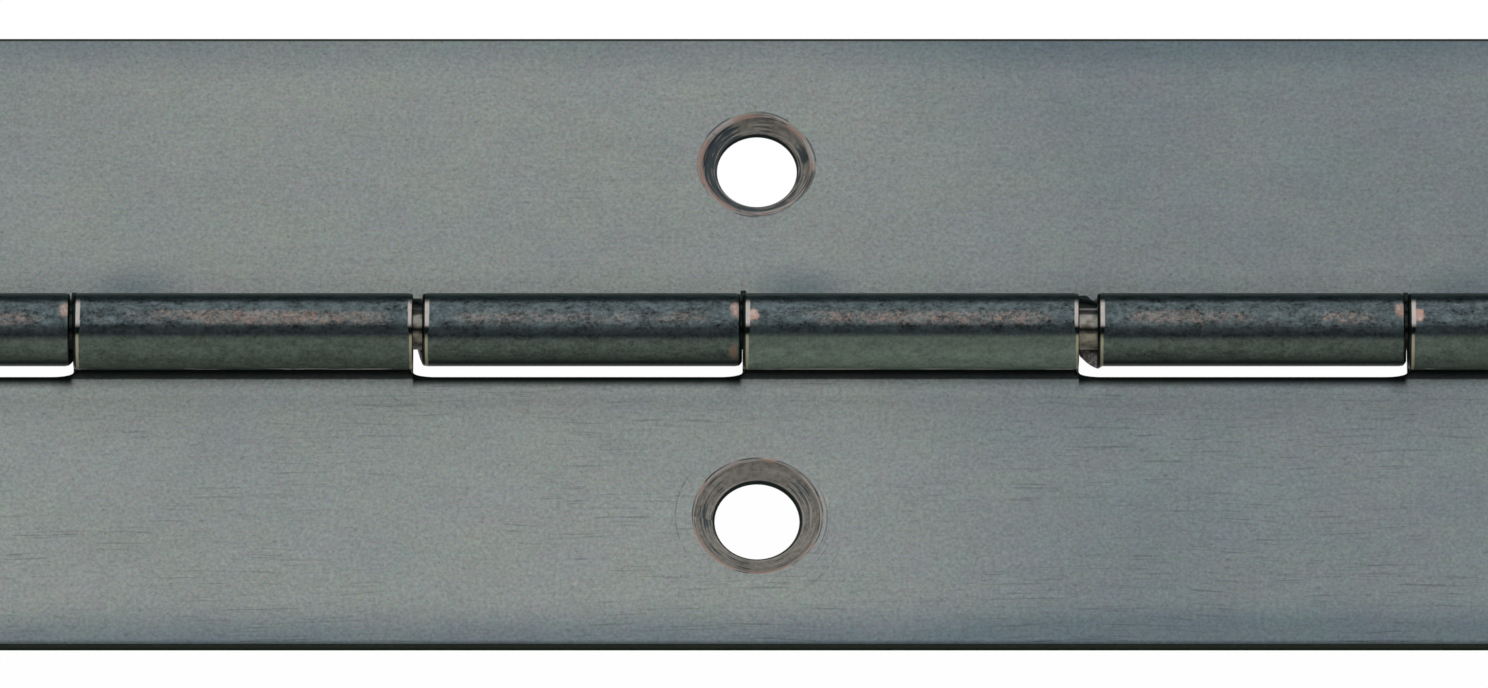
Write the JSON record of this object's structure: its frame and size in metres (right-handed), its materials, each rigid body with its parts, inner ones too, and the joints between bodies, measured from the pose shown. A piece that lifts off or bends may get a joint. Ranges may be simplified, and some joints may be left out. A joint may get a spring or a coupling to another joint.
{
  "type": "piano hinge",
  "caption": "Continuous piano hinge: two flat sheet leaves with countersunk screw holes, rolled knuckles and a wire pin, aged copper finish.",
  "frame": {"origin": "middle of the length, under the pin's axis, on the plane of the leaves' backs", "axes": "+X along the pin, +Y from the pin towards the upper leaf, +Z out of the countersunk faces, on which the barrel stands proud"},
  "size_m": [0.1524, 0.0262, 0.0027],
  "materials": {
    "leaf_metal": "dark antique patina over copper plate, satin, copper showing where rubbed",
    "pin_metal": "drawn wire, dull, tarnished"
  },
  "bodies": {
    "lower": {"lower_leaf": "leaf_metal", "hinge_pin": "pin_metal"},
    "upper": {"upper_leaf": "leaf_metal"}
  },
  "joints": [
    {"name": "leaf_hinge", "type": "hinge", "parent": "lower", "child": "upper", "pos_m": [0, 0, 0.00136], "axis": [1, 0, 0], "range_deg": [-95, 185]}
  ]
}
